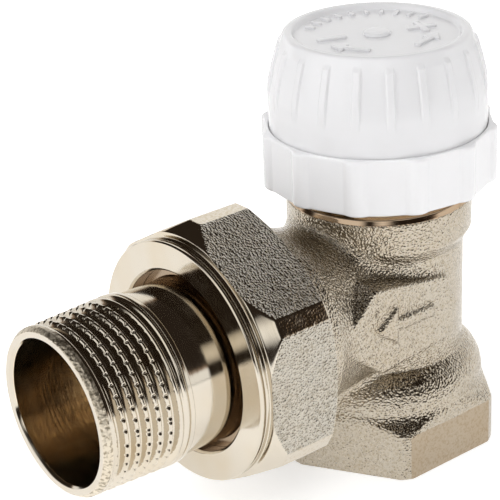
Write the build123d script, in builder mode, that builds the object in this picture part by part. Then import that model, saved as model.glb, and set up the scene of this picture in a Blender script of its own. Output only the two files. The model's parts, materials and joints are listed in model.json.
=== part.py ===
from build123d import *
import os

# Angle radiator valve, nominal size 20, with a union tailpiece and a hand-adjusting cap.
# Row frame, in millimetres: the origin is the centre of the inlet's mouth, +Z runs up the spindle and
# +X runs along the outlet. The valve is closed, with the cap and the union nut screwed home.

# ---------------------------------------------------------------- driving dimensions
OUTLET_HEIGHT = 26.3  # inlet face to outlet axis
OUTLET_REACH = 62.4  # spindle axis to the end of the tailpiece
RUNNING = 0.06  # radial clearance between turned parts that move in each other
SEATED = 0.02  # gap between faces that rest on each other but move apart

# body
INLET_FLATS = 33.0
INLET_CORNERS = 37.0  # across the flattened corners
HEX_CORNER_TOP = 7.9
HEX_TOP = 9.9
SHOULDER_R = 16.4
BARREL_R = 13.2
COLLAR_R = 14.5
COLLAR_TOP = 43.2
NECK_TOP = 50.2
NECK_BORE_R = 12.6
HEAD_THREAD_R = 14.9  # M30 x 1.5
HEAD_PITCH = 1.5
PIPE_THREAD_R = 12.06  # crest of the internal Rp 3/4 thread
PIPE_THREAD_DEPTH = 13.2
PIPE_PITCH = 1.814
SEAT_BORE_R = 7.4
SEAT_LAND = 1.4
CHAMBER_FLOOR = 19.6
SEAT_TOP = 20.4
CHAMBER_R = 11.0
SOCKET_R = 10.6
SOCKET_BOTTOM = 33.0
BRANCH_R = 13.2
BRANCH_END = 35.5
UNION_THREAD_R = 16.5  # G 1
UNION_THREAD_START = 24.8
UNION_PITCH = 2.309
WATERWAY_R = 8.0
WATERWAY_START = 9.6
CONE_START = 31.1  # seat of the tailpiece in the end of the branch
CONE_SMALL_R = 10.0
CONE_LARGE_R = 14.0
PLATE_Y = 14.2  # face of the flow-arrow plates, with their outlines in the XZ plane
PLATE_DRAFT = 12
PLATE_OUTLINE = (
    (20.0, 27.6), (19.6, 25.6), (12.6, 19.6), (-1.0, 20.9), (-3.4, 26.2), (-1.0, 31.6), (13.9, 33.8),
)
ARROW_OUTLINE = (
    (14.0, 27.0), (9.6, 30.2), (9.6, 28.0), (2.0, 28.0), (2.0, 26.0), (9.6, 26.0), (9.6, 23.8),
)

# union nut and tailpiece
NUT_BACK = 26.1
NUT_FRONT = 40.0
NUT_FLATS = 38.2
NUT_CORNERS = 42.4
NUT_COLLAR_R = 18.7
NUT_LIP_R = 14.15
NUT_LIP_BACK = 37.6
TAIL_BORE_R = 10.95
TAIL_NOSE_BORE_R = 9.0
TAIL_NECK_R = 12.65
TAIL_THREAD_START = 48.3
TAIL_THREAD_R = 13.0  # R 3/4 near its end
TAIL_FLANGE_R = 15.2

# bonnet, gland and spindle
BONNET_R = 10.5
BONNET_BOTTOM = 31.4
BONNET_FLANGE_TOP = 44.8
BONNET_HEX_TOP = 47.6
SPRING_CHAMBER_R = 6.0
SPRING_SEAT = 33.4
SPRING_TOP = 36.9
CHAMBER_ROOF = 41.5
GLAND_FLOOR = 43.1
GLAND_R = 5.0
GLAND_WASHER = 0.4
SPINDLE_R = 2.5
SPINDLE_BOTTOM = 24.4
SPINDLE_TOP = 38.8
PIN_R = 2.0
PIN_TOP = 55.0
DISC_R = 9.4

# cap
RING_BOTTOM = 45.0
RING_TOP = 53.7
RING_FLAT_R = 17.45
RING_LOBE_R = 18.4
RING_LOBES = 12
RING_WEB_BOTTOM = 50.8
RING_WEB_TOP = 53.0
HUB_R = 7.2
HUB_TOP = 62.0
POST_R = 5.4
POST_BOTTOM = 57.2
DOME_R = 16.8
DOME_BOTTOM = 53.1
DOME_RIM_TOP = 68.2
DOME_RIBS = 20
RIB_WIDTH = 1.2
RIB_HEIGHT = 0.35
RECESS_R = 12.4
RECESS_FLOOR = 67.35
MARK_HEIGHT = 0.4

OUTLET_AXIS = Axis((0, 0, OUTLET_HEIGHT), (1, 0, 0))
OUTLET_PLANE = Plane((0, 0, OUTLET_HEIGHT), x_dir=(0, 1, 0), z_dir=(1, 0, 0))
os.makedirs("parts", exist_ok=True)


def save(builder, name):
    """Labels a finished piece and writes its STEP file."""
    builder.part.label = name
    export_step(builder.part, f"parts/{name}.step")


def upright(inner, outer, low, high):
    """Half section, in the XZ plane, of a ring about the spindle axis."""
    with Locations(((inner + outer) / 2, (low + high) / 2)):
        Rectangle(outer - inner, high - low)


def section(*points):
    """Closed half section with straight sides."""
    Polygon(*points, align=None)


def about_outlet(*points):
    """Closed half section given as (distance along the outlet, radius)."""
    section(*[(x, OUTLET_HEIGHT + r) for x, r in points])


def groove_places(start, end, pitch):
    """Evenly spaced places for the thread grooves between start and end."""
    count = int((end - start) / pitch)
    margin = (end - start - (count - 1) * pitch) / 2
    return [start + margin + i * pitch for i in range(count)]


def v_groove(place, half_width, depth, turn):
    """Section of one thread groove; at turn 0 it cuts downwards from its place."""
    with Locations(Location(place, turn)):
        Polygon((-half_width, 0.02), (half_width, 0.02), (0, -depth), align=None)


def blunt_hexagon(flats, corners, turn):
    """Hexagon with flattened corners, one of them at the angle turn."""
    RegularPolygon(flats / 2, 6, major_radius=False, rotation=turn)
    RegularPolygon(corners / 2, 6, major_radius=False, rotation=turn + 30, mode=Mode.INTERSECT)


# ---------------------------------------------------------------- valve body
# Inlet hexagon, its corners turned off by a cone at the top.
with BuildPart() as inlet_hexagon:
    with BuildSketch(Plane.XY):
        blunt_hexagon(INLET_FLATS, INLET_CORNERS, turn=0)
    extrude(amount=HEX_TOP)
    with BuildSketch(Plane.XZ):
        section(
            (0, 0), (INLET_CORNERS / 2 - 0.2, 0), (INLET_CORNERS / 2 + 0.1, 0.4),
            (INLET_CORNERS / 2 + 0.1, HEX_CORNER_TOP), (SHOULDER_R, HEX_TOP), (0, HEX_TOP),
        )
    revolve(axis=Axis.Z, mode=Mode.INTERSECT)

# Flow-arrow plate with drafted sides and a raised arrow, pointing to the outlet.
with BuildPart() as side_plate:
    with BuildSketch(Plane.XZ.offset(-PLATE_Y)):
        Polygon(*PLATE_OUTLINE, align=None)
    extrude(amount=PLATE_Y, taper=-PLATE_DRAFT)
    with BuildSketch(Plane.XZ.offset(-PLATE_Y - MARK_HEIGHT)):
        Polygon(*ARROW_OUTLINE, align=None)
    extrude(amount=2 * MARK_HEIGHT)

with BuildPart() as valve_body:
    # shoulder, barrel, collar and M30 neck, turned about the spindle axis
    with BuildSketch(Plane.XZ):
        with BuildLine():
            Polyline(
                (BARREL_R, 17.0), (BARREL_R, 34.8), (COLLAR_R, 37.0), (COLLAR_R, COLLAR_TOP - 0.5),
                (COLLAR_R - 0.5, COLLAR_TOP), (HEAD_THREAD_R - 1.0, COLLAR_TOP), (HEAD_THREAD_R - 1.0, 45.2),
                (HEAD_THREAD_R, 46.0), (HEAD_THREAD_R, NECK_TOP - 0.6), (HEAD_THREAD_R - 0.6, NECK_TOP),
                (0, NECK_TOP), (0, HEX_CORNER_TOP), (SHOULDER_R, HEX_CORNER_TOP), (SHOULDER_R, 12.4),
            )
            ThreePointArc((SHOULDER_R, 12.4), (15.3, 14.9), (BARREL_R, 17.0))
        make_face()
    revolve(axis=Axis.Z)
    add(inlet_hexagon.part)
    # outlet branch with the G 1 thread, turned about the outlet axis
    with BuildSketch(Plane.XZ):
        about_outlet(
            (0, 0), (0, BRANCH_R), (14.0, BRANCH_R), (21.0, 15.3), (UNION_THREAD_START - 0.8, 15.3),
            (UNION_THREAD_START, UNION_THREAD_R), (BRANCH_END - 0.8, UNION_THREAD_R), (BRANCH_END, 15.7),
            (BRANCH_END, 0),
        )
    revolve(axis=OUTLET_AXIS)
    add(side_plate.part)
    mirror(side_plate.part, about=Plane.XZ)
    # open neck, bonnet socket and chamber above the seat
    with BuildSketch(Plane.XZ):
        upright(0, NECK_BORE_R, COLLAR_TOP, NECK_TOP + 1)
        upright(0, SOCKET_R, SOCKET_BOTTOM, COLLAR_TOP)
        upright(0, CHAMBER_R, CHAMBER_FLOOR, SOCKET_BOTTOM)
    revolve(axis=Axis.Z, mode=Mode.SUBTRACT)
    # internal pipe thread, narrowing to the seat bore
    with BuildSketch(Plane.XZ):
        section(
            (0, -1), (PIPE_THREAD_R + 1.4, -1), (PIPE_THREAD_R, 0.4), (PIPE_THREAD_R, PIPE_THREAD_DEPTH),
            (SEAT_BORE_R, 16.6), (SEAT_BORE_R, CHAMBER_FLOOR + 1), (0, CHAMBER_FLOOR + 1),
        )
    revolve(axis=Axis.Z, mode=Mode.SUBTRACT)
    # raised land that the disc closes on
    with BuildSketch(Plane.XZ):
        upright(SEAT_BORE_R, SEAT_BORE_R + SEAT_LAND, CHAMBER_FLOOR - 1, SEAT_TOP)
    revolve(axis=Axis.Z)
    # waterway to the union, ending in the cone that the tailpiece seats in
    with BuildSketch(Plane.XZ):
        about_outlet(
            (WATERWAY_START, 0), (WATERWAY_START, WATERWAY_R), (CONE_START, WATERWAY_R),
            (CONE_START, CONE_SMALL_R), (BRANCH_END, CONE_LARGE_R), (BRANCH_END + 1, CONE_LARGE_R),
            (BRANCH_END + 1, 0),
        )
    revolve(axis=OUTLET_AXIS, mode=Mode.SUBTRACT)
    # thread grooves: union, head and inlet
    with BuildSketch(Plane.XZ):
        for x in groove_places(UNION_THREAD_START + 0.4, BRANCH_END - 0.8, UNION_PITCH):
            v_groove((x, OUTLET_HEIGHT + UNION_THREAD_R), 0.85, 1.2, 0)
    revolve(axis=OUTLET_AXIS, mode=Mode.SUBTRACT)
    with BuildSketch(Plane.XZ):
        for z in groove_places(46.2, NECK_TOP - 0.5, HEAD_PITCH):
            v_groove((HEAD_THREAD_R, z), 0.55, 0.8, -90)
        for z in groove_places(0.8, PIPE_THREAD_DEPTH - 0.6, PIPE_PITCH):
            v_groove((PIPE_THREAD_R, z), 0.7, 1.0, 90)
    revolve(axis=Axis.Z, mode=Mode.SUBTRACT)
save(valve_body, "valve_body")

# ---------------------------------------------------------------- bonnet and gland
BONNET_RING_WIRE = 0.95
BONNET_RING_Z = 38.6
with BuildPart() as bonnet:
    with BuildSketch(Plane.XZ):
        upright(0, BONNET_R, BONNET_BOTTOM, COLLAR_TOP)
        upright(0, NECK_BORE_R - 0.3, COLLAR_TOP, BONNET_FLANGE_TOP)
    revolve(axis=Axis.Z)
    with BuildSketch(Plane.XY.offset(BONNET_FLANGE_TOP)):
        RegularPolygon(9.5, 6, major_radius=False)
    extrude(amount=BONNET_HEX_TOP - BONNET_FLANGE_TOP)
    # spring chamber, guide bore and gland pocket
    with BuildSketch(Plane.XZ):
        upright(0, SPRING_CHAMBER_R, BONNET_BOTTOM - 1, CHAMBER_ROOF)
        upright(0, SPINDLE_R + RUNNING, CHAMBER_ROOF, GLAND_FLOOR)
        upright(0, GLAND_R + 0.04, GLAND_FLOOR, BONNET_HEX_TOP + 1)
        upright(BONNET_R - 2 * BONNET_RING_WIRE, BONNET_R + 1, BONNET_RING_Z - 1.05, BONNET_RING_Z + 1.05)
    revolve(axis=Axis.Z, mode=Mode.SUBTRACT)
save(bonnet, "bonnet")

with BuildPart() as bonnet_o_ring:
    with Locations((0, 0, BONNET_RING_Z)):
        Torus(SOCKET_R - SEATED - BONNET_RING_WIRE, BONNET_RING_WIRE)
save(bonnet_o_ring, "bonnet_o_ring")

GLAND_RING_WIRE = 0.75
GLAND_RING_HEIGHTS = (44.85, 46.4)
with BuildPart() as gland_nut:
    with BuildSketch(Plane.XZ):
        upright(0, GLAND_R, GLAND_FLOOR + GLAND_WASHER, BONNET_HEX_TOP)
    revolve(axis=Axis.Z)
    with BuildSketch(Plane.XY.offset(BONNET_HEX_TOP)):
        RegularPolygon(6.0, 6, major_radius=False)
    extrude(amount=2.0)
    with BuildSketch(Plane.XZ):
        upright(0, PIN_R + RUNNING, GLAND_FLOOR, BONNET_HEX_TOP + 3)
        upright(0, PIN_R + 1.6, GLAND_RING_HEIGHTS[0] - 0.8, GLAND_RING_HEIGHTS[1] + 0.8)
    revolve(axis=Axis.Z, mode=Mode.SUBTRACT)
save(gland_nut, "gland_nut")

with BuildPart() as gland_o_rings:
    for height in GLAND_RING_HEIGHTS:
        with Locations((0, 0, height)):
            Torus(PIN_R + 0.03 + GLAND_RING_WIRE, GLAND_RING_WIRE)
save(gland_o_rings, "gland_o_rings")

with BuildPart() as gland_washer:
    with BuildSketch(Plane.XZ):
        upright(PIN_R + RUNNING, GLAND_R - 0.1, GLAND_FLOOR, GLAND_FLOOR + GLAND_WASHER)
    revolve(axis=Axis.Z)
save(gland_washer, "gland_washer")

with BuildPart() as guide_bush:
    with BuildSketch(Plane.XZ):
        upright(SPINDLE_R + RUNNING, SPRING_CHAMBER_R - SEATED, BONNET_BOTTOM, SPRING_SEAT)
    revolve(axis=Axis.Z)
save(guide_bush, "guide_bush")

# ---------------------------------------------------------------- spindle, spring and disc
CUP_THICKNESS = 0.8
CLIP_THICKNESS = 0.5
CLIP_BOTTOM = SPRING_TOP + CUP_THICKNESS
SCREW_R = 1.6
SCREW_TOP = 27.0
SCREW_HEAD = 1.6
with BuildPart() as actuating_pin:
    with BuildSketch(Plane.XZ):
        upright(0, PIN_R, SPINDLE_TOP, PIN_TOP)
    revolve(axis=Axis.Z)
    chamfer(actuating_pin.faces().sort_by(Axis.Z)[-1].edges(), 0.4)
save(actuating_pin, "actuating_pin")

with BuildPart() as spindle:
    with BuildSketch(Plane.XZ):
        upright(SCREW_R + 0.04, SPINDLE_R, SPINDLE_BOTTOM, SCREW_TOP + 0.5)
        upright(0, SPINDLE_R, SCREW_TOP + 0.5, SPINDLE_TOP)
    revolve(axis=Axis.Z)
    # groove for the retaining clip
    with BuildSketch(Plane.XZ):
        upright(SPINDLE_R - 0.5, SPINDLE_R + 1, CLIP_BOTTOM, CLIP_BOTTOM + CLIP_THICKNESS)
    revolve(axis=Axis.Z, mode=Mode.SUBTRACT)
save(spindle, "spindle")

with BuildPart() as spindle_clip:
    with BuildSketch(Plane.XY.offset(CLIP_BOTTOM)):
        Circle(SPINDLE_R + 1.0)
        Circle(SPINDLE_R - 0.45, mode=Mode.SUBTRACT)
        with Locations((0, -SPINDLE_R)):
            Rectangle(3.0, 3.0, mode=Mode.SUBTRACT)
    extrude(amount=CLIP_THICKNESS)
save(spindle_clip, "spindle_clip")

with BuildPart() as spring_cup:
    with BuildSketch(Plane.XZ):
        upright(SPINDLE_R + 0.05, SPRING_CHAMBER_R - 0.4, SPRING_TOP, CLIP_BOTTOM)
    revolve(axis=Axis.Z)
save(spring_cup, "spring_cup")

SPRING_WIRE = 0.35
SPRING_R = 4.6
SPRING_COILS = 3
WIRE_BOTTOM = SPRING_SEAT + SPRING_WIRE + 0.05
WIRE_RISE = SPRING_TOP - SPRING_WIRE - 0.05 - WIRE_BOTTOM
with BuildPart() as return_spring:
    with BuildLine():
        Helix(
            pitch=WIRE_RISE / SPRING_COILS, height=WIRE_RISE, radius=SPRING_R, center=(0, 0, WIRE_BOTTOM),
        )
    with BuildSketch(Plane((SPRING_R, 0, WIRE_BOTTOM), z_dir=(0, 1, 0))):
        Circle(SPRING_WIRE)
    sweep(is_frenet=True)
save(return_spring, "return_spring")

SEAL_THICKNESS = 2.4
SEAL_BOTTOM = SEAT_TOP + SEATED
SEAL_TOP = SEAL_BOTTOM + SEAL_THICKNESS
with BuildPart() as disc_seal:
    with BuildSketch(Plane.XZ):
        upright(SCREW_R + 0.04, DISC_R - 0.6, SEAL_BOTTOM, SEAL_TOP)
    revolve(axis=Axis.Z)
save(disc_seal, "disc_seal")

with BuildPart() as disc_holder:
    with BuildSketch(Plane.XZ):
        upright(SCREW_R + 0.04, DISC_R, SEAL_TOP, SPINDLE_BOTTOM)
        upright(DISC_R - 0.58, DISC_R, SEAL_BOTTOM + 0.6, SEAL_TOP)
        upright(SPINDLE_R + 0.04, SPINDLE_R + 1.6, SPINDLE_BOTTOM, SCREW_TOP)
    revolve(axis=Axis.Z)
save(disc_holder, "disc_holder")

with BuildPart() as disc_screw:
    with BuildSketch(Plane.XZ):
        upright(0, 3.6, SEAL_BOTTOM - SCREW_HEAD, SEAL_BOTTOM)
        upright(0, SCREW_R, SEAL_BOTTOM, SCREW_TOP)
    revolve(axis=Axis.Z)
    with BuildSketch(Plane.XY.offset(SEAL_BOTTOM - SCREW_HEAD)):
        Rectangle(8.0, 0.9)
    extrude(amount=0.8, mode=Mode.SUBTRACT)
save(disc_screw, "disc_screw")

# ---------------------------------------------------------------- union
with BuildPart() as union_nut:
    with BuildSketch(OUTLET_PLANE.offset(NUT_BACK)):
        blunt_hexagon(NUT_FLATS, NUT_CORNERS, turn=30)
    extrude(amount=NUT_FRONT - NUT_BACK)
    # chamfered ends, the turned front collar, and the threaded bore behind the lip
    with BuildSketch(Plane.XZ):
        about_outlet(
            (NUT_BACK, NUT_LIP_R), (NUT_BACK, 19.7), (NUT_BACK + 1.2, 21.7), (35.3, 21.7), (38.3, 19.6),
            (38.5, NUT_COLLAR_R), (NUT_FRONT - 0.3, NUT_COLLAR_R), (NUT_FRONT, NUT_COLLAR_R - 0.3),
            (NUT_FRONT, NUT_LIP_R + 0.4), (NUT_FRONT - 0.4, NUT_LIP_R), (NUT_LIP_BACK, NUT_LIP_R),
        )
    revolve(axis=OUTLET_AXIS, mode=Mode.INTERSECT)
    with BuildSketch(Plane.XZ):
        about_outlet(
            (NUT_BACK - 1, 0), (NUT_BACK - 1, UNION_THREAD_R + 2), (NUT_BACK + 1, UNION_THREAD_R + RUNNING),
            (BRANCH_END + 0.2, UNION_THREAD_R + RUNNING), (BRANCH_END + 0.2, TAIL_FLANGE_R + 0.2),
            (NUT_LIP_BACK, TAIL_FLANGE_R + 0.2), (NUT_LIP_BACK, 0),
        )
        for x in groove_places(NUT_BACK + 1.2, BRANCH_END, UNION_PITCH):
            v_groove((x, OUTLET_HEIGHT + UNION_THREAD_R + RUNNING), 0.7, 1.0, 180)
    revolve(axis=OUTLET_AXIS, mode=Mode.SUBTRACT)
save(union_nut, "union_nut")

NOSE_START = CONE_START + 0.5
NOSE_GAP = 0.2  # to the body's cone, bridged by the sealing ring
CONE_SLOPE = (CONE_LARGE_R - CONE_SMALL_R) / (BRANCH_END - CONE_START)
NOSE_SMALL_R = CONE_SMALL_R - NOSE_GAP + CONE_SLOPE * (NOSE_START - CONE_START)
NOSE_LARGE_R = CONE_LARGE_R - NOSE_GAP
TAIL_RING_WIRE = 0.75
TAIL_RING_X = 33.9
TAIL_RING_R = 10.9
with BuildPart() as tailpiece:
    with BuildSketch(Plane.XZ):
        about_outlet(
            (NOSE_START, TAIL_NOSE_BORE_R), (NOSE_START, NOSE_SMALL_R), (BRANCH_END, NOSE_LARGE_R),
            (BRANCH_END + 0.1, NOSE_LARGE_R), (BRANCH_END + 0.1, TAIL_FLANGE_R),
            (NUT_LIP_BACK - SEATED, TAIL_FLANGE_R), (NUT_LIP_BACK - SEATED, TAIL_NECK_R),
            (TAIL_THREAD_START - 0.3, TAIL_NECK_R), (TAIL_THREAD_START, TAIL_THREAD_R),
            (OUTLET_REACH - 0.7, TAIL_THREAD_R), (OUTLET_REACH, TAIL_THREAD_R - 0.7),
            (OUTLET_REACH, TAIL_BORE_R + 0.3), (OUTLET_REACH - 0.3, TAIL_BORE_R), (41.0, TAIL_BORE_R),
            (37.5, TAIL_NOSE_BORE_R),
        )
    revolve(axis=OUTLET_AXIS)
    with BuildSketch(Plane.XZ):
        # ring groove square to the cone
        with Locations(Location((TAIL_RING_X, OUTLET_HEIGHT + TAIL_RING_R), 45)):
            Rectangle(2 * TAIL_RING_WIRE + 0.1, 2 * TAIL_RING_WIRE + 0.1)
            with Locations((0, 1.0)):
                Rectangle(2 * TAIL_RING_WIRE + 0.1, 1.0)
        for x in groove_places(TAIL_THREAD_START + 0.4, OUTLET_REACH - 0.7, PIPE_PITCH):
            v_groove((x, OUTLET_HEIGHT + TAIL_THREAD_R), 0.75, 1.05, 0)
    revolve(axis=OUTLET_AXIS, mode=Mode.SUBTRACT)
save(tailpiece, "tailpiece")

with BuildPart() as tailpiece_o_ring:
    with Locations(OUTLET_PLANE.offset(TAIL_RING_X)):
        Torus(TAIL_RING_R, TAIL_RING_WIRE)
save(tailpiece_o_ring, "tailpiece_o_ring")

# ---------------------------------------------------------------- cap
LOBE_ROUND = 2.3  # radius of one grip lobe
LOBE_TURN = 6.3
with BuildPart() as cap_ring_nut:
    # twelve-sided grip with a rounded lobe on each corner
    with BuildSketch(Plane.XY.offset(RING_BOTTOM)):
        RegularPolygon(RING_FLAT_R, RING_LOBES, major_radius=False, rotation=LOBE_TURN)
        with PolarLocations(RING_LOBE_R - LOBE_ROUND, RING_LOBES, start_angle=LOBE_TURN):
            Circle(LOBE_ROUND)
    extrude(amount=RING_TOP - RING_BOTTOM)
    with BuildSketch(Plane.XZ):
        section(
            (0, RING_BOTTOM), (RING_LOBE_R - 1.0, RING_BOTTOM), (RING_LOBE_R + 0.1, RING_BOTTOM + 0.8),
            (RING_LOBE_R + 0.1, RING_TOP - 0.8), (RING_LOBE_R - 1.1, RING_TOP), (0, RING_TOP),
        )
    revolve(axis=Axis.Z, mode=Mode.INTERSECT)
    # hub that guides the handle
    with BuildSketch(Plane.XZ):
        upright(0, HUB_R, RING_WEB_BOTTOM, HUB_TOP)
    revolve(axis=Axis.Z)
    with BuildSketch(Plane.XZ):
        upright(0, HEAD_THREAD_R + RUNNING, RING_BOTTOM - 1, RING_WEB_BOTTOM)
        upright(0, POST_R + RUNNING, RING_WEB_BOTTOM, HUB_TOP + 1)
        upright(HUB_R, DOME_R + 0.15, RING_WEB_TOP, RING_TOP + 1)
        for z in groove_places(RING_BOTTOM + 0.6, NECK_TOP, HEAD_PITCH):
            v_groove((HEAD_THREAD_R + RUNNING, z), 0.5, 0.7, 90)
    revolve(axis=Axis.Z, mode=Mode.SUBTRACT)
save(cap_ring_nut, "cap_ring_nut")

with BuildPart() as cap_gasket:
    with BuildSketch(Plane.XZ):
        upright(NECK_BORE_R, HEAD_THREAD_R - 0.2, NECK_TOP + SEATED, RING_WEB_BOTTOM - SEATED)
    revolve(axis=Axis.Z)
save(cap_gasket, "cap_gasket")

with BuildPart() as cap_pusher:
    with BuildSketch(Plane.XZ):
        upright(0, POST_R - 0.02, PIN_TOP + SEATED, POST_BOTTOM - SEATED)
    revolve(axis=Axis.Z)
save(cap_pusher, "cap_pusher")


RIB_TOP = 66.9
RIB_BOTTOM = 57.0
MINUS_ANGLE = -22
MARK_R = 7.2  # place and size of the minus and plus
MARK_LENGTH = 4.6
MARK_WIDTH = 1.0
ARROW_R = 8.3
ARROW_HALF = 1.9  # half the arrow's shaft, where its head starts
ARROW_TIP = 4.2


def dome_outline(extra):
    """Outside of the cap's dome, from the skirt to the rim, grown by extra."""
    Polyline((0, DOME_BOTTOM), (DOME_R + extra, DOME_BOTTOM), (DOME_R + extra, 56.8))
    ThreePointArc((DOME_R + extra, 56.8), (16.3 + extra, 61.2), (15.0 + extra, 66.2))
    ThreePointArc((15.0 + extra, 66.2), (14.5 + extra, 67.5), (13.4 + extra, DOME_RIM_TOP))
    Polyline((13.4 + extra, DOME_RIM_TOP), (0, DOME_RIM_TOP), (0, DOME_BOTTOM))


with BuildPart() as dome_ribs:
    with BuildSketch(Plane.XZ):
        with BuildLine():
            dome_outline(RIB_HEIGHT)
        make_face()
    revolve(axis=Axis.Z)
    with BuildSketch(Plane.XY.offset(RIB_BOTTOM)):
        with PolarLocations(DOME_R - 1.0, DOME_RIBS):
            Rectangle(4.0, RIB_WIDTH)
    extrude(amount=RIB_TOP - RIB_BOTTOM, mode=Mode.INTERSECT)

with BuildPart() as cap_handle:
    with BuildSketch(Plane.XZ):
        with BuildLine():
            dome_outline(0)
        make_face()
    revolve(axis=Axis.Z)
    add(dome_ribs.part)
    # dished top, and the hollow round the central post
    with BuildSketch(Plane.XZ):
        section(
            (0, RECESS_FLOOR), (RECESS_R, RECESS_FLOOR), (RECESS_R + 0.5, DOME_RIM_TOP + 0.1),
            (0, DOME_RIM_TOP + 0.1),
        )
        section(
            (POST_R, DOME_BOTTOM - 1), (15.2, DOME_BOTTOM - 1), (15.2, 58.0), (13.2, 65.0), (POST_R, 65.0),
        )
        upright(0, POST_R, DOME_BOTTOM - 1, POST_BOTTOM)
    revolve(axis=Axis.Z, mode=Mode.SUBTRACT)
    # raised marks on the dished top: centre button, minus, plus, an arrow to each, and an arc of ticks
    with BuildSketch(Plane.XY.offset(RECESS_FLOOR)):
        Circle(2.3)
        with PolarLocations(MARK_R, 1, start_angle=MINUS_ANGLE):
            Rectangle(MARK_LENGTH, MARK_WIDTH)
        with PolarLocations(MARK_R, 1, start_angle=MINUS_ANGLE + 180):
            Rectangle(MARK_LENGTH, MARK_WIDTH)
            Rectangle(MARK_WIDTH, MARK_LENGTH)
        with PolarLocations(ARROW_R, 1, start_angle=MINUS_ANGLE + 48):
            Rectangle(MARK_WIDTH, 2 * ARROW_HALF + 0.6)
            Polygon((-1.5, -ARROW_HALF), (1.5, -ARROW_HALF), (0, -ARROW_TIP), align=None)
        with PolarLocations(ARROW_R, 1, start_angle=MINUS_ANGLE + 127):
            Rectangle(MARK_WIDTH, 2 * ARROW_HALF + 0.6)
            Polygon((1.5, ARROW_HALF), (-1.5, ARROW_HALF), (0, ARROW_TIP), align=None)
        with PolarLocations(RECESS_R - 1.8, 10, start_angle=-175, angular_range=115):
            Rectangle(1.7, 0.6)
    extrude(amount=MARK_HEIGHT)
save(cap_handle, "cap_handle")
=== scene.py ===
"""Looks of the angle radiator valve: forged and turned brass, nickel plated, under a white moulded cap.

Shapes are worked out in millimetres in the row frame, with the spindle up +Z and the outlet along +X,
and become metres as each mesh is made.
"""
import json
from math import acos, ceil, cos, pi, radians, sin, tan

import bpy
import bmesh
import numpy as np
from mathutils import Matrix, Vector


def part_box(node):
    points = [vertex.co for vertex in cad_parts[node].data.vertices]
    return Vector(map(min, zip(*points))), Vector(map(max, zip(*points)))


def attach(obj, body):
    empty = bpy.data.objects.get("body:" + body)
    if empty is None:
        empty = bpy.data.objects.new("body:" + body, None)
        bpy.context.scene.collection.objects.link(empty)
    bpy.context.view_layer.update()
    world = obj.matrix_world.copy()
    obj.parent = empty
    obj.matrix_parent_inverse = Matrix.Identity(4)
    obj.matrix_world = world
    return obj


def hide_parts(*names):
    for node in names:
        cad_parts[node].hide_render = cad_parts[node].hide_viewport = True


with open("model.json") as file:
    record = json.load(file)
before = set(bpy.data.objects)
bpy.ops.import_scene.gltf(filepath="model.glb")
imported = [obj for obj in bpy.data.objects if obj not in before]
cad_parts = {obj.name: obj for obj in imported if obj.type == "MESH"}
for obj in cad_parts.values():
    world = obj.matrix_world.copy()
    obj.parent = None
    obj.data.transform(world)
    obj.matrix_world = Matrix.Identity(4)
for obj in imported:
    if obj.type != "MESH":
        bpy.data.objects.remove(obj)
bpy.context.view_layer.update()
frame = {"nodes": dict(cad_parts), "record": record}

MM = 0.001
TAU = 2 * pi

# ---------------------------------------------------------------- sizes, in millimetres
mounts = {m["name"]: m for m in frame["record"]["mounts"]}
OUTLET_HEIGHT = mounts["outlet"]["pos_m"][2] / MM
TAIL_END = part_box("tailpiece")[1].x / MM
TAIL_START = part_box("tailpiece")[0].x / MM
NUT_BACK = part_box("union_nut")[0].x / MM
NUT_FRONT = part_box("union_nut")[1].x / MM
NECK_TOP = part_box("valve_body")[1].z / MM
BRANCH_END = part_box("valve_body")[1].x / MM
RING_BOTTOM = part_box("cap_ring_nut")[0].z / MM
HUB_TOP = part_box("cap_ring_nut")[1].z / MM
DOME_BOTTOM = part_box("cap_handle")[0].z / MM
DOME_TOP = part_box("cap_handle")[1].z / MM

INLET_FLATS, INLET_CORNERS = 33.0, 37.0
HEX_CORNER_TOP, HEX_TOP = 7.9, 9.9
SHOULDER_R, BARREL_R, COLLAR_R = 16.4, 13.2, 14.5
COLLAR_TOP = 43.2
COLLAR_BLASTED_TOP = 42.1  # the turned chamfer starts here
NECK_BORE_R, NECK_R = 12.6, 14.9
HEAD_PITCH, UNION_PITCH, PIPE_PITCH = 1.5, 2.309, 1.814
INLET_BORE_R, INLET_DEPTH = 12.06, 13.2
SEAT_BORE_R, CHAMBER_FLOOR, SEAT_TOP, CHAMBER_R = 7.4, 19.6, 20.4, 11.0
SOCKET_R, SOCKET_BOTTOM = 10.6, 33.0
BRANCH_R, WATERWAY_R = 13.2, 8.0
UNION_R = 16.5
PLATE_Y = 14.2
NUT_FLATS, NUT_CORNERS, NUT_COLLAR_R, NUT_LIP_R = 38.2, 42.4, 18.7, 14.15
TAIL_BORE_R, TAIL_NECK_R, TAIL_FLANGE_R = 10.95, 12.65, 15.2
TAIL_THREAD_START = 48.3
RING_TOP, RING_WEB_BOTTOM, RING_WEB_TOP = 53.7, 50.8, 53.0
RING_FLAT_R, RING_LOBE_R, LOBE_ROUND, LOBE_TURN, LOBES = 17.45, 18.4, 2.3, radians(6.3), 12
HUB_R, POST_R, POST_BOTTOM = 7.2, 5.4, 57.2
DOME_R, DOME_RIBS, RIB_WIDTH, RIB_HEIGHT = 16.8, 20, 1.2, 0.35
RECESS_R, RECESS_FLOOR = 12.4, 67.35


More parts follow.
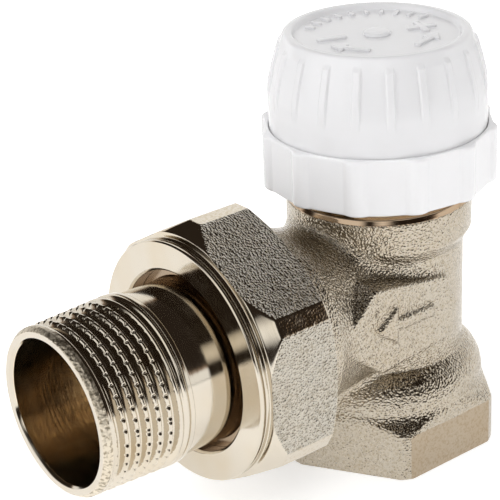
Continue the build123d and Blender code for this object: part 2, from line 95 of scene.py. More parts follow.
# ---------------------------------------------------------------- mesh tools
def soften(corners, step=0.5, arc_points=5):
    """Closed half section of (along, radius, rounding) corners: rounded, with no side longer than step."""
    places = np.array([corner[:2] for corner in corners], float)
    outline = []
    for i, (_, _, rounding) in enumerate(corners):
        here = places[i]
        back, ahead = places[i - 1] - here, places[(i + 1) % len(corners)] - here
        back_length, ahead_length = np.linalg.norm(back), np.linalg.norm(ahead)
        back, ahead = back / back_length, ahead / ahead_length
        turn = pi - acos(max(-1.0, min(1.0, float(back @ ahead))))
        cut = min(rounding * tan(turn / 2), 0.45 * back_length, 0.45 * ahead_length)
        if cut < 0.01:
            outline.append(here)
            continue
        first, last = here + back * cut, here + ahead * cut
        for t in np.linspace(0, 1, arc_points):
            outline.append((1 - t) ** 2 * first + 2 * t * (1 - t) * here + t**2 * last)
    dense = []
    for start, end in zip(outline, outline[1:] + outline[:1]):
        count = max(1, ceil(np.linalg.norm(end - start) / step))
        dense += [start + (end - start) * k / count for k in range(count)]
    return np.array(dense)


def smooth_min(a, b, softness):
    """The smaller of a and b, with the crease between them rounded."""
    share = np.clip(0.5 + 0.5 * (b - a) / softness, 0, 1)
    return b + (a - b) * share - softness * share * (1 - share)


def smooth_max(a, b, softness):
    """The larger of a and b, with the crease between them rounded."""
    return -smooth_min(-a, -b, softness)


def rise(value, start, end):
    """0 before start, 1 after end, with a smooth rise between."""
    t = np.clip((value - start) / (end - start), 0, 1)
    return t * t * (3 - 2 * t)


def finish_mesh(name, mesh, body, node, materials):
    """Makes a piece of a mesh, gives it its materials, and lets it stand for a CAD node."""
    mesh.validate()
    piece = bpy.data.objects.new(name, mesh)
    bpy.context.scene.collection.objects.link(piece)
    for material in materials:
        mesh.materials.append(material)
    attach(piece, body)
    if node:
        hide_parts(node)
    return piece


def grid_mesh(name, points, zones=None):
    """Closed mesh of a grid of points that wraps both ways; zones gives each quad's material number."""
    rows, columns = points.shape[:2]
    index = np.arange(rows * columns).reshape(rows, columns)
    down = np.roll(index, -1, axis=0)
    quads = np.stack([index, down, np.roll(down, -1, axis=1), np.roll(index, -1, axis=1)], axis=-1)
    mesh = bpy.data.meshes.new(name)
    mesh.from_pydata((points.reshape(-1, 3) * MM).tolist(), [], quads.reshape(-1, 4).tolist())
    mesh.polygons.foreach_set("use_smooth", np.ones(rows * columns, bool))
    if zones is not None:
        mesh.polygons.foreach_set("material_index", zones.reshape(-1).astype(np.int32))
    work = bmesh.new()
    work.from_mesh(mesh)
    bmesh.ops.remove_doubles(work, verts=work.verts, dist=0.004 * MM)
    bmesh.ops.recalc_face_normals(work, faces=work.faces)
    work.to_mesh(mesh)
    work.free()
    return mesh


def turned(name, section, columns, axis, shape=None, zoning=None):
    """Mesh of a half section turned about the spindle or the outlet; shape and zoning vary it by angle."""
    angle = np.broadcast_to(np.linspace(0, TAU, columns, endpoint=False), (len(section), columns))
    along = np.repeat(section[:, :1], columns, axis=1)
    radius = np.repeat(section[:, 1:], columns, axis=1)
    zones = zoning(along, radius, angle) if zoning else None
    if shape:
        along, radius = shape(along, radius, angle)
    across, up = radius * np.cos(angle), radius * np.sin(angle)
    if axis == "spindle":
        points = np.stack([across, up, along], axis=-1)
    else:
        points = np.stack([along, across, OUTLET_HEIGHT + up], axis=-1)
    return grid_mesh(name, points, zones)


def thread_ridge(phase, crest=0.16, root=0.14):
    """Height of a thread, 1 on the crest at phase 0 and 0 in the root at phase 0.5."""
    apart = 2 * np.abs((phase + 0.5) % 1 - 0.5)
    return 1 - rise(apart, crest, 1 - root)


# ---------------------------------------------------------------- distance fields for the forging
def polygon_distance(x, y, corners):
    """Signed distance from (x, y) to a polygon, negative inside."""
    corners = np.array(corners, float)
    nearest = np.full(x.shape, 1e9)
    inside = np.ones(x.shape)
    for (ax, ay), (bx, by) in zip(corners, np.roll(corners, -1, axis=0)):
        ex, ey = bx - ax, by - ay
        wx, wy = x - ax, y - ay
        t = np.clip((wx * ex + wy * ey) / (ex * ex + ey * ey), 0, 1)
        nearest = np.minimum(nearest, (wx - ex * t) ** 2 + (wy - ey * t) ** 2)
        above, below, left = y >= ay, y < by, ex * wy > ey * wx
        crossing = (above & below & left) | (~above & ~below & ~left)
        inside = np.where(crossing, -inside, inside)
    return inside * np.sqrt(nearest)


def hexagon_distance(x, y, flats, corners, turn, softness):
    """Distance to a hexagon with flattened corners, one of them at the angle turn."""
    distance = np.full(x.shape, -1e9)
    for k in range(6):
        for reach, angle in ((flats / 2, turn + radians(30 + 60 * k)), (corners / 2, turn + radians(60 * k))):
            side = x * cos(angle) + y * sin(angle) - reach
            distance = smooth_max(distance, side, softness)
    return distance


def forging_distance(x, y, z):
    """Signed distance to the forged body, in millimetres: solid round its waterways."""
    radius = np.hypot(x, y)
    barrel = polygon_distance(radius, z, (
        (-5, HEX_CORNER_TOP), (SHOULDER_R, HEX_CORNER_TOP), (SHOULDER_R, 12.2), (16.05, 13.6), (15.3, 14.9),
        (14.3, 15.9), (BARREL_R, 16.6), (BARREL_R, 34.9), (COLLAR_R, 37.1),
        (COLLAR_R, COLLAR_BLASTED_TOP), (-5, COLLAR_BLASTED_TOP),
    ))
    hexagon = hexagon_distance(x, y, INLET_FLATS, INLET_CORNERS, 0, 0.12)
    hexagon = smooth_max(hexagon, (radius - SHOULDER_R - HEX_TOP + z) * 0.7071, 0.35)
    hexagon = smooth_max(hexagon, -z, 0.3)
    up = z - OUTLET_HEIGHT
    out = np.hypot(y, up)
    branch = polygon_distance(x, out, (
        (0, -5), (0, BRANCH_R), (13.5, BRANCH_R), (17.5, 14.0), (21.5, 15.3), (24.0, 15.3), (24.0, -5),
    ))
    side = PLATE_Y - np.abs(y)
    plate = polygon_distance(x, z, (
        (20.2, 27.7), (19.7, 25.4), (12.6, 19.6), (-1.0, 20.9), (-3.4, 26.2), (-1.0, 31.6), (13.9, 33.8),
    )) - 0.22 * side
    plate = smooth_max(plate, -side, 0.4)
    arrow = polygon_distance(x, z, (
        (14.0, 27.0), (9.6, 30.2), (9.6, 28.0), (2.0, 28.0), (2.0, 26.0), (9.6, 26.0), (9.6, 23.8),
    )) - 0.5 * (side + 0.2)
    arrow = smooth_max(arrow, -(side + 0.55), 0.3)
    solid = smooth_min(barrel, branch, 2.2)
    solid = smooth_min(solid, hexagon, 0.7)
    solid = smooth_min(solid, plate, 0.5)
    solid = smooth_min(solid, arrow, 0.2)
    # waterways: inlet, seat, chamber and bonnet socket, then the branch
    passage = polygon_distance(radius, z, (
        (-5, -5), (INLET_BORE_R + 0.5, -5), (INLET_BORE_R + 0.5, INLET_DEPTH), (SEAT_BORE_R, 16.6),
        (SEAT_BORE_R, CHAMBER_FLOOR), (CHAMBER_R, CHAMBER_FLOOR), (CHAMBER_R, SOCKET_BOTTOM),
        (SOCKET_R, SOCKET_BOTTOM), (SOCKET_R, COLLAR_TOP + 5), (-5, COLLAR_TOP + 5),
    ))
    land = polygon_distance(radius, z, (
        (SEAT_BORE_R, 17), (SEAT_BORE_R + 1.4, 17), (SEAT_BORE_R + 1.4, SEAT_TOP), (SEAT_BORE_R, SEAT_TOP),
    ))
    passage = np.maximum(passage, -land)
    branch_bore = polygon_distance(x, out, ((9.6, -5), (9.6, WATERWAY_R), (30, WATERWAY_R), (30, -5)))
    return smooth_max(solid, -np.minimum(passage, branch_bore), 0.3)


def field_mesh(name, distance, low, high, cell):
    """Mesh of a distance field's surface: one vertex in each cell that it crosses, settled onto the field."""
    axes = [np.arange(lo, hi + cell, cell) for lo, hi in zip(low, high)]
    shape = tuple(len(axis) for axis in axes)
    value = np.empty(shape)
    for k, height in enumerate(axes[2]):
        x, y = np.meshgrid(axes[0], axes[1], indexing="ij")
        value[:, :, k] = distance(x, y, np.full_like(x, height))
    inside = value < 0
    full = [inside[i:shape[0] - 1 + i, j:shape[1] - 1 + j, k:shape[2] - 1 + k]
            for i in (0, 1) for j in (0, 1) for k in (0, 1)]
    count = np.sum(full, axis=0)
    crossed = (count > 0) & (count < 8)
    number = np.full(crossed.shape, -1)
    number[crossed] = np.arange(crossed.sum())
    cells = np.argwhere(crossed)
    points = np.stack([axes[i][cells[:, i]] + cell / 2 for i in range(3)], axis=1)
    quads = []
    for direction in range(3):
        first = np.take(inside, range(shape[direction] - 1), axis=direction)
        second = np.take(inside, range(1, shape[direction]), axis=direction)
        at = np.argwhere(first != second)
        flip = first[tuple(at.T)]
        u, v = [i for i in range(3) if i != direction]
        keep = (at[:, u] > 0) & (at[:, v] > 0) & (at[:, u] < shape[u] - 1) & (at[:, v] < shape[v] - 1)
        at, flip = at[keep], flip[keep]
        ring = []
        for du, dv in ((1, 1), (0, 1), (0, 0), (1, 0)):
            corner = at.copy()
            corner[:, u] -= du
            corner[:, v] -= dv
            ring.append(number[tuple(corner.T)])
        ring = np.stack(ring, axis=1)
        flip = flip if direction != 1 else ~flip
        ring[flip] = ring[flip][:, ::-1]
        quads.append(ring)
    for _ in range(6):
        gap = distance(*points.T)
        slope = field_slope(distance, points)
        points -= slope * np.clip(gap, -cell, cell)[:, None]
    mesh = bpy.data.meshes.new(name)
    mesh.from_pydata((points * MM).tolist(), [], np.concatenate(quads).tolist())
    mesh.polygons.foreach_set("use_smooth", np.ones(len(mesh.polygons), bool))
    work = bmesh.new()
    work.from_mesh(mesh)
    bmesh.ops.recalc_face_normals(work, faces=work.faces)
    work.to_mesh(mesh)
    work.free()
    return mesh


def field_slope(distance, points, reach=0.05):
    """Unit direction in which the distance grows at each point."""
    slope = np.empty_like(points)
    for i in range(3):
        step = np.zeros(3)
        step[i] = reach
        slope[:, i] = distance(*(points + step).T) - distance(*(points - step).T)
    return slope / np.maximum(np.linalg.norm(slope, axis=1, keepdims=True), 1e-6)


# ---------------------------------------------------------------- materials
def new_material(name, base, metallic, roughness):
    """A principled material; returns it with its node tree's nodes, links and shader."""
    material = bpy.data.materials.new(name)
    material.use_nodes = True
    nodes, links = material.node_tree.nodes, material.node_tree.links
    shader = nodes["Principled BSDF"]
    shader.inputs["Base Color"].default_value = (*base, 1)
    shader.inputs["Metallic"].default_value = metallic
    shader.inputs["Roughness"].default_value = roughness
    return material, nodes, links, shader


def noise(nodes, links, scale, detail=2.0, stretch=(1, 1, 1)):
    """Noise in object space, in cycles per metre; returns its factor socket."""
    place = nodes.new("ShaderNodeTexCoord")
    mapping = nodes.new("ShaderNodeMapping")
    mapping.inputs["Scale"].default_value = stretch
    texture = nodes.new("ShaderNodeTexNoise")
    texture.inputs["Scale"].default_value = scale
    texture.inputs["Detail"].default_value = detail
    links.new(place.outputs["Object"], mapping.inputs["Vector"])
    links.new(mapping.outputs["Vector"], texture.inputs["Vector"])
    return texture.outputs["Fac"]


def facets(nodes, links, scale):
    """Distance to the nearest of many scattered points, in cycles per metre, for sharp little dimples."""
    place = nodes.new("ShaderNodeTexCoord")
    texture = nodes.new("ShaderNodeTexVoronoi")
    texture.inputs["Scale"].default_value = scale
    links.new(place.outputs["Object"], texture.inputs["Vector"])
    return texture.outputs["Distance"]


def ramp(nodes, links, source, stops):
    """Colour ramp over a factor; stops are (position, colour)."""
    node = nodes.new("ShaderNodeValToRGB")
    while len(node.color_ramp.elements) < len(stops):
        node.color_ramp.elements.new(0.5)
    for element, (position, colour) in zip(node.color_ramp.elements, stops):
        element.position = position
        element.color = (*colour, 1)
    links.new(source, node.inputs["Fac"])
    return node.outputs["Color"]


def spread(nodes, links, source, low, high, start=0.3, end=0.7):
    """Maps a factor between start and end onto low to high."""
    node = nodes.new("ShaderNodeMapRange")
    for socket, value in zip(("From Min", "From Max", "To Min", "To Max"), (start, end, low, high)):
        node.inputs[socket].default_value = value
    links.new(source, node.inputs["Value"])
    return node.outputs["Result"]


def bump(nodes, links, shader, heights, distance):
    """Bumps the surface by the sum of (socket, weight) heights; distance is in metres."""
    total = None
    for socket, weight in heights:
        scaled = nodes.new("ShaderNodeMath")
        scaled.operation = "MULTIPLY_ADD"
        scaled.inputs[1].default_value = weight
        links.new(socket, scaled.inputs[0])
        if total:
            links.new(total, scaled.inputs[2])
        else:
            scaled.inputs[2].default_value = 0
        total = scaled.outputs[0]
    node = nodes.new("ShaderNodeBump")
    node.inputs["Distance"].default_value = distance
    links.new(total, node.inputs["Height"])
    links.new(node.outputs["Normal"], shader.inputs["Normal"])


def tinted(nodes, links, first, second):
    """Colour socket of two colour sockets multiplied together."""
    node = nodes.new("ShaderNodeMixRGB")
    node.blend_type = "MULTIPLY"
    node.inputs["Fac"].default_value = 1
    links.new(first, node.inputs["Color1"])
    links.new(second, node.inputs["Color2"])
    return node.outputs["Color"]


def vary_roughness(nodes, links, shader, scale, detail, low, high):
    """Drives the shader's roughness between low and high by noise."""
    links.new(spread(nodes, links, noise(nodes, links, scale, detail), low, high), shader.inputs["Roughness"])


def vary_colour(nodes, links, shader, scale, detail, stops):
    """Drives the shader's base colour through a ramp of noise."""
    links.new(ramp(nodes, links, noise(nodes, links, scale, detail), stops), shader.inputs["Base Color"])


def blasted_nickel(name, base, grain, depth, roughness, swell=0.3, pit_shade=0.7):
    """Nickel over a blasted forging: a fine blasted grain, with painted shade darkening each pit, and plating
    a little warmer and duller in places.

    grain is in cycles per metre and depth in metres; swell weighs the coarser bumps, and the last argument is
    how much of its colour the plating keeps where a pit is painted darker as shade.
    """
    material, nodes, links, shader = new_material(name, base, 1.0, roughness)
    warm = tuple(c * f for c, f in zip(base, (0.98, 0.955, 0.92)))
    tint = ramp(nodes, links, noise(nodes, links, 160, 3), ((0.35, base), (0.7, warm)))
    # painted shade: the colour darkens in each pit, where the grain's bump is low
    shade = (pit_shade, pit_shade * 0.96, pit_shade * 0.88)
    pit_shading = ramp(nodes, links, noise(nodes, links, grain, 1), ((0.36, shade), (0.52, (1, 1, 1))))
    links.new(tinted(nodes, links, tint, pit_shading), shader.inputs["Base Color"])
    vary_roughness(nodes, links, shader, 900, 4, roughness - 0.05, roughness + 0.06)
    heights = (
        (facets(nodes, links, grain), 1.0),
        (noise(nodes, links, grain, 1), 1.0),
        (noise(nodes, links, grain * 0.4, 1), swell),
        (noise(nodes, links, 220, 2), 0.6),
    )
    bump(nodes, links, shader, heights, depth)
    return material


def polished_nickel(name, base, stretch, roughness=0.09, lines=0.5):
    """Nickel over turned brass: bright, with faint tool lines round the turning axis and a few specks."""
    material, nodes, links, shader = new_material(name, base, 1.0, roughness)
    warm = tuple(c * f for c, f in zip(base, (0.97, 0.93, 0.86)))
    vary_colour(nodes, links, shader, 120, 2, ((0.4, base), (0.75, warm)))
    vary_roughness(nodes, links, shader, 400, 4, roughness - 0.03, roughness + 0.07)
    heights = (
        (noise(nodes, links, 60, 4, stretch), lines),
        (noise(nodes, links, 260, 2), 1.0),
    )
    bump(nodes, links, shader, heights, 0.000012)
    return material


def moulded_plastic(name, base):
    """Glossy white moulding with the faint unevenness of a moulded skin."""
    material, nodes, links, shader = new_material(name, base, 0.0, 0.16)
    shader.inputs["Subsurface Weight"].default_value = 0.12
    shader.inputs["Subsurface Radius"].default_value = (0.9, 0.85, 0.8)
    shader.inputs["Subsurface Scale"].default_value = 0.0012
    shade = tuple(c * 0.965 for c in base)
    vary_colour(nodes, links, shader, 90, 4, ((0.3, shade), (0.65, base)))
    vary_roughness(nodes, links, shader, 500, 3, 0.09, 0.15)
    heights = ((noise(nodes, links, 1500, 2), 0.3), (noise(nodes, links, 150, 2), 1.0))
    bump(nodes, links, shader, heights, 0.000025)
    return material


def plain_metal(name, base, roughness, stretch):
    """Turned metal inside the valve, with tool lines and slight staining."""
    material, nodes, links, shader = new_material(name, base, 1.0, roughness)
    stained = tuple(c * 0.75 for c in base)
    vary_colour(nodes, links, shader, 200, 4, ((0.35, stained), (0.6, base)))
    vary_roughness(nodes, links, shader, 700, 3, roughness - 0.06, roughness + 0.1)
    bump(nodes, links, shader, ((noise(nodes, links, 80, 4, stretch), 1.0),), 0.00002)
    return material


def black_rubber(name):
    """Matt rubber with a fine skin."""
    base = (0.018, 0.018, 0.019)
    material, nodes, links, shader = new_material(name, base, 0.0, 0.6)
    dusty = (0.032, 0.031, 0.03)
    vary_colour(nodes, links, shader, 600, 4, ((0.4, base), (0.7, dusty)))
    vary_roughness(nodes, links, shader, 900, 2, 0.5, 0.7)
    bump(nodes, links, shader, ((noise(nodes, links, 2500, 2), 1.0),), 0.00002)
    return material


NICKEL = (0.63, 0.575, 0.485)
forged = blasted_nickel("forged_nickel", (0.52, 0.468, 0.388), 2700, 0.00013, 0.13, pit_shade=0.84)
# painted reflection: the flats across the valve are coloured darker and browner
painted_reflection_flat = blasted_nickel("smooth_flat_nickel_painted_reflection", (0.43, 0.355, 0.265), 2700, 0.00005, 0.16, pit_shade=0.88)
nut_blasted = blasted_nickel("nut_blasted_nickel", (0.53, 0.495, 0.43), 2900, 0.00019, 0.05, 0.0)
nut_facet = blasted_nickel("nut_facet_nickel", NICKEL, 2700, 0.000012, 0.1, pit_shade=0.9)
worn_edge = blasted_nickel("worn_nickel", (0.72, 0.65, 0.53), 1800, 0.00009, 0.42, 0.6, 0.5)
bright_outlet = polished_nickel("bright_nickel_outlet", NICKEL, (40, 1, 1))
bright_spindle = polished_nickel("bright_nickel_spindle", NICKEL, (1, 1, 40))
# painted shade: dark brown for the turned band under the cap ring
painted_shade_band = polished_nickel("bright_nickel_painted_shade_band", (0.50, 0.38, 0.27), (1, 1, 40), 0.1)
bored = polished_nickel("bored_nickel", (0.78, 0.67, 0.52), (40, 1, 1), 0.1, 4.0)
# painted shade: dark brown for the nut's lip bore and the tailpiece inside the nut
painted_gap_shade = polished_nickel("painted_gap_shade_nickel", (0.34, 0.26, 0.18), (40, 1, 1), 0.16)
# painted light and shade: the dome's white is darker and the ring's lighter, a shaded and a lit copy of one
# plastic
white = moulded_plastic("white_plastic", (0.71, 0.71, 0.725))
painted_lit_white_ring = moulded_plastic("white_ring_plastic_painted_lit", (0.77, 0.77, 0.785))
brass = plain_metal("plain_brass", (0.83, 0.62, 0.30), 0.22, (1, 1, 40))
steel = plain_metal("stainless_steel", (0.62, 0.61, 0.59), 0.25, (1, 1, 40))
rubber = black_rubber("black_rubber")
SLOT_MATERIALS = {
    "plain_brass": brass, "stainless_steel": steel, "black_rubber": rubber, "white_plastic": white,
    "forged_nickel": forged, "nut_nickel": nut_blasted, "bright_nickel": bright_outlet,
}


# ---------------------------------------------------------------- valve body
def make_forging():
    """The forged body, up to the top of its collar and out to the union thread."""
    low = (-19.2, -19.2, -0.6)
    high = (25.0, 19.2, COLLAR_TOP + 0.8)
    mesh = field_mesh("valve_body_forging", forging_distance, low, high, 0.33)
    # the two flats across the valve, which carry the marking on the real one, are smoother, and painted
    # darker and browner as the dark reflection they show
    centres = np.empty((len(mesh.polygons), 3), np.float32)
    mesh.polygons.foreach_get("center", centres.reshape(-1))
    sideways, height = np.abs(centres[:, 1]), centres[:, 2]
    on_flat = (sideways > (INLET_FLATS / 2 - 0.12) * MM) & (height < HEX_CORNER_TOP * MM)
    mesh.polygons.foreach_set("material_index", on_flat.astype(np.int32))
    materials = [forged, painted_reflection_flat]
    return finish_mesh("valve_body_forging", mesh, "body", "valve_body", materials)


def make_neck():
    """Turned neck above the collar: a polished band, painted dark brown as the shade under the cap ring, and
    the head thread.
    """
    thread_low, thread_high = 45.7, NECK_TOP - 0.4
    groove_r = 13.5
    section = soften((
        (COLLAR_TOP - 2, SOCKET_R, 0), (COLLAR_TOP, SOCKET_R, 0.1), (COLLAR_TOP, NECK_BORE_R, 0.1),
        (NECK_TOP, NECK_BORE_R, 0.2), (NECK_TOP, NECK_R - 0.5, 0.15), (NECK_TOP - 0.5, NECK_R, 0),
        (thread_low, NECK_R, 0), (thread_low - 0.8, groove_r, 0.15), (COLLAR_TOP, groove_r, 0.2),
        (COLLAR_TOP - 0.3, COLLAR_R - 0.35, 0.5), (COLLAR_BLASTED_TOP, COLLAR_R - 0.05, 0.2),
        (COLLAR_BLASTED_TOP - 0.35, COLLAR_R - 0.1, 0),
        (COLLAR_TOP - 2, COLLAR_R - 1.2, 0),
    ), step=0.1)

    def shape(along, radius, angle):
        ridge = thread_ridge(along / HEAD_PITCH - angle / TAU)
        fade = rise(along, thread_low - 0.2, thread_low + 0.5)
        fade = fade * (1 - rise(along, thread_high, thread_high + 0.4))
        depth = 0.85 * (1 - ridge) * fade * (radius > NECK_R - 0.55)
        return along, radius - depth

    def zoning(along, radius, angle):
        # the turned band under the cap ring takes the painted shade
        return ((along < COLLAR_TOP + 0.1) & (radius > groove_r - 0.3)) * 1

    mesh = turned("valve_body_neck", section, 240, "spindle", shape, zoning)
    materials = [bright_spindle, painted_shade_band]
    return finish_mesh("valve_body_neck", mesh, "body", "valve_body", materials)


def make_union_end():
    """Turned end of the branch: union thread outside, seat cone inside."""
    start, thread_low, thread_high = 22.6, 25.2, BRANCH_END - 0.9
    section = soften((
        (start, WATERWAY_R, 0), (31.1, WATERWAY_R, 0.1), (31.1, 10.0, 0.1), (BRANCH_END, 14.0, 0.1),
        (BRANCH_END, UNION_R - 0.8, 0.15), (BRANCH_END - 0.8, UNION_R, 0), (24.9, UNION_R, 0),
        (24.1, 15.25, 0.15), (start, 15.2, 0),
    ), step=0.14)

    def shape(along, radius, angle):
        ridge = thread_ridge(along / UNION_PITCH - angle / TAU)
        fade = rise(along, thread_low - 0.3, thread_low + 0.7)
        fade = fade * (1 - rise(along, thread_high - 0.5, thread_high + 0.4))
        depth = 1.25 * (1 - ridge) * fade * (radius > UNION_R - 0.7)
        return along, radius - depth

    mesh = turned("valve_body_union_end", section, 240, "outlet", shape)
    return finish_mesh("valve_body_union_end", mesh, "body", "valve_body", [bright_outlet])


def make_inlet_thread():
    """Pipe thread inside the inlet."""
    section = soften((
        (0.15, INLET_BORE_R + 0.55, 0.1), (0.15, INLET_BORE_R + 1.6, 0), (INLET_DEPTH, INLET_BORE_R + 1.6, 0),
        (INLET_DEPTH, INLET_BORE_R + 0.1, 0), (0.6, INLET_BORE_R + 0.1, 0.1),
    ), step=0.15)

    def shape(along, radius, angle):
        ridge = thread_ridge(along / PIPE_PITCH - angle / TAU)
        fade = rise(along, 0.5, 1.2) * (1 - rise(along, INLET_DEPTH - 1.5, INLET_DEPTH - 0.6))
        depth = 1.0 * (1 - ridge) * fade * (radius < INLET_BORE_R + 0.2)
        return along, radius + depth

    mesh = turned("valve_body_inlet_thread", section, 240, "spindle", shape)
    materials = [bright_spindle]
    return finish_mesh("valve_body_inlet_thread", mesh, "body", "valve_body", materials)


# ---------------------------------------------------------------- union
def hexagon_reach(angle, flats, corners, corner_angle):
    """Distance from the axis to a hexagon with flattened corners, its creases slightly rounded."""
    reach = np.full(angle.shape, 1e3)
    for k in range(6):
        flat, corner = corner_angle + radians(30 + 60 * k), corner_angle + radians(60 * k)
        for apothem, towards in ((flats / 2, flat), (corners / 2, corner)):
            turn = np.cos(angle - towards)
            reach = smooth_min(reach, np.where(turn > 0.3, apothem / np.maximum(turn, 0.3), 1e3), 0.12)
    return reach


def make_union_nut():
    """Hexagon union nut: blasted flats, polished chamfers, a turned collar at the front, and a lip bore
    painted dark brown as shade.
    """
    section = soften((
        (NUT_BACK, UNION_R + 1.2, 0.1), (NUT_BACK, 19.5, 0.2), (NUT_BACK + 1.3, 21.7, 0.2), (35.3, 21.7, 0.3),
        (38.2, 19.55, 0.25), (38.25, NUT_COLLAR_R - 0.1, 0.2), (39.0, NUT_COLLAR_R - 0.1, 0.1),
        (39.05, NUT_COLLAR_R - 0.5, 0.05), (39.4, NUT_COLLAR_R - 0.5, 0.05), (39.45, NUT_COLLAR_R, 0.1),
        (NUT_FRONT - 0.2, NUT_COLLAR_R, 0.1), (NUT_FRONT, NUT_COLLAR_R - 0.2, 0.1),
        (NUT_FRONT, NUT_LIP_R + 0.4, 0.15), (NUT_FRONT - 0.4, NUT_LIP_R, 0.15), (37.6, NUT_LIP_R, 0.1),
        (37.6, TAIL_FLANGE_R + 0.2, 0.1), (35.8, TAIL_FLANGE_R + 0.2, 0.1), (35.5, UNION_R + 0.1, 0.1),
        (NUT_BACK + 1.1, UNION_R + 0.1, 0.1),
    ), step=0.25)

    def shape(along, radius, angle):
        outline = hexagon_reach(angle, NUT_FLATS, NUT_CORNERS, radians(30))
        outside = radius > NUT_COLLAR_R + 0.05
        return along, np.where(outside, smooth_min(radius, outline, 0.22), radius)

    def zoning(along, radius, angle):
        outline = hexagon_reach(angle, NUT_FLATS, NUT_CORNERS, radians(30))
        from_corner = np.abs((angle - radians(30) + pi / 6) % (pi / 3) - pi / 6)
        facet = NUT_CORNERS / np.cos(from_corner) < NUT_FLATS / np.cos(pi / 6 - from_corner)
        side = (radius > outline + 0.12) & (radius > NUT_COLLAR_R + 0.3)
        # the lip's bore is painted dark brown as shade
        lip = (radius < NUT_LIP_R + 0.2) & (along > 37)
        return side * np.where(facet, 2, 1) + lip * 3

    mesh = turned("union_nut_visual", section, 600, "outlet", shape, zoning)
    materials = [bright_outlet, nut_blasted, nut_facet, painted_gap_shade]
    return finish_mesh("union_nut_visual", mesh, "nut", "union_nut", materials)


def make_tailpiece():
    """Tailpiece: flange and cone inside the nut, polished neck, taper thread with nicked crests."""
    thread_end, land = TAIL_END - 1.7, 12.75
    nicks, nick_r = 48, 0.26
    section = soften((
        (TAIL_START, 9.0, 0.1), (TAIL_START, 10.2, 0.2), (35.5, 13.7, 0.1), (35.6, TAIL_FLANGE_R, 0.2),
        (37.55, TAIL_FLANGE_R, 0.2), (37.6, TAIL_NECK_R, 0.3), (47.2, TAIL_NECK_R, 0.2), (47.35, 13.15, 0.15),
        (48.1, 13.2, 0.12), (48.25, 12.8, 0.1), (48.5, 13.25, 0.1), (thread_end, 12.8, 0.05),
        (TAIL_END - 0.75, land, 0.25), (TAIL_END, 12.25, 0.3), (TAIL_END, TAIL_BORE_R + 0.35, 0.25),
        (TAIL_END - 0.5, TAIL_BORE_R, 0.3), (41.0, TAIL_BORE_R, 0.5), (37.5, 9.0, 0.5),
    ), step=0.11)

    def shape(along, radius, angle):
        phase = (TAIL_END - along) / PIPE_PITCH + angle / TAU
        ridge = thread_ridge(phase, crest=0.08, root=0.08)
        on_thread = rise(along, 48.6, 49.6) * (1 - rise(along, thread_end - 0.2, thread_end + 0.3))
        outside = (radius > TAIL_NECK_R + 0.02) & (along > TAIL_THREAD_START)
        depth = 1.05 * (1 - ridge) * on_thread * outside
        nicked = rise(along, 50.4, 50.8) * (1 - rise(along, 60.3, 60.6)) * outside
        from_crest = ((phase + 0.5) % 1 - 0.5) * PIPE_PITCH
        from_nick = ((angle * nicks / TAU + 0.37 * np.floor(phase + 0.5)) % 1 - 0.5) * TAU * 13 / nicks
        depth += 0.45 * nicked * (1 - rise(np.hypot(from_crest, from_nick), 0.4 * nick_r, 1.3 * nick_r))
        return along, radius - depth

    def zoning(along, radius, angle):
        bore = (radius < TAIL_BORE_R + 0.1) & (along < TAIL_END - 0.3)
        rim = (along > TAIL_END - 1.3) & (radius > 12.2)
        # the neck and flange inside the nut are painted dark brown as shade
        gap = (along < NUT_FRONT - 1.3) & (radius > TAIL_BORE_R + 0.5)
        return bore * 1 + rim * 2 + gap * 3

    mesh = turned("tailpiece_visual", section, 768, "outlet", shape, zoning)
    materials = [bright_outlet, bored, worn_edge, painted_gap_shade]
    return finish_mesh("tailpiece_visual", mesh, "tail", "tailpiece", materials)


# ---------------------------------------------------------------- cap
def make_cap_ring():
    """Ring nut of the cap: twelve flats with a rounded grip lobe on each corner, and the hub inside."""
    rim_inner = DOME_R + 0.1
    section = soften((
        (RING_BOTTOM, 15.1, 0.2), (RING_BOTTOM, RING_LOBE_R, 0.5), (RING_TOP, RING_LOBE_R, 0.45),
        (RING_TOP, rim_inner, 0.12), (RING_WEB_TOP, rim_inner, 0.1), (RING_WEB_TOP, HUB_R, 0.3),
        (HUB_TOP, HUB_R, 0.3), (HUB_TOP, POST_R + 0.06, 0.2), (RING_WEB_BOTTOM, POST_R + 0.06, 0.2),
        (RING_WEB_BOTTOM, 15.0, 0.2),
    ), step=0.3)

    def shape(along, radius, angle):
        flats = np.full(angle.shape, 1e3)
        lobes = np.zeros(angle.shape)
        for k in range(LOBES):
            corner = LOBE_TURN + TAU * k / LOBES
            facing = np.cos(angle - corner - pi / LOBES)
            flats = np.minimum(flats, np.where(facing > 0.3, RING_FLAT_R / np.maximum(facing, 0.3), 1e3))
            offset = np.arctan2(np.sin(angle - corner), np.cos(angle - corner))
            centre = RING_LOBE_R - LOBE_ROUND
            inside = LOBE_ROUND**2 - (centre * np.sin(offset)) ** 2
            bulge = centre * np.cos(offset) + np.sqrt(np.maximum(inside, 0))
            lobes = np.where((inside > 0) & (np.abs(offset) < 0.5), np.maximum(lobes, bulge), lobes)
        outline = smooth_max(flats, lobes, 0.18)
        share = np.clip((radius - rim_inner) / (RING_LOBE_R - rim_inner), 0, 1)
        outer = radius + share * (outline - RING_LOBE_R)
        ridge = thread_ridge(along / HEAD_PITCH - angle / TAU)
        threaded = ((radius < 15.12) & (radius > 14.9)) * rise(along, RING_BOTTOM + 0.4, RING_BOTTOM + 1)
        fade = 1 - rise(along, RING_WEB_BOTTOM - 0.8, RING_WEB_BOTTOM - 0.3)
        groove = 0.8 * (1 - ridge) * threaded * fade
        return along, np.where(radius > rim_inner, outer, radius + groove)

    mesh = turned("cap_ring_visual", section, 720, "spindle", shape)
    # the ring takes the lighter, painted-lit copy of the cap's white plastic
    return finish_mesh("cap_ring_visual", mesh, "cap_ring", "cap_ring_nut", [painted_lit_white_ring])


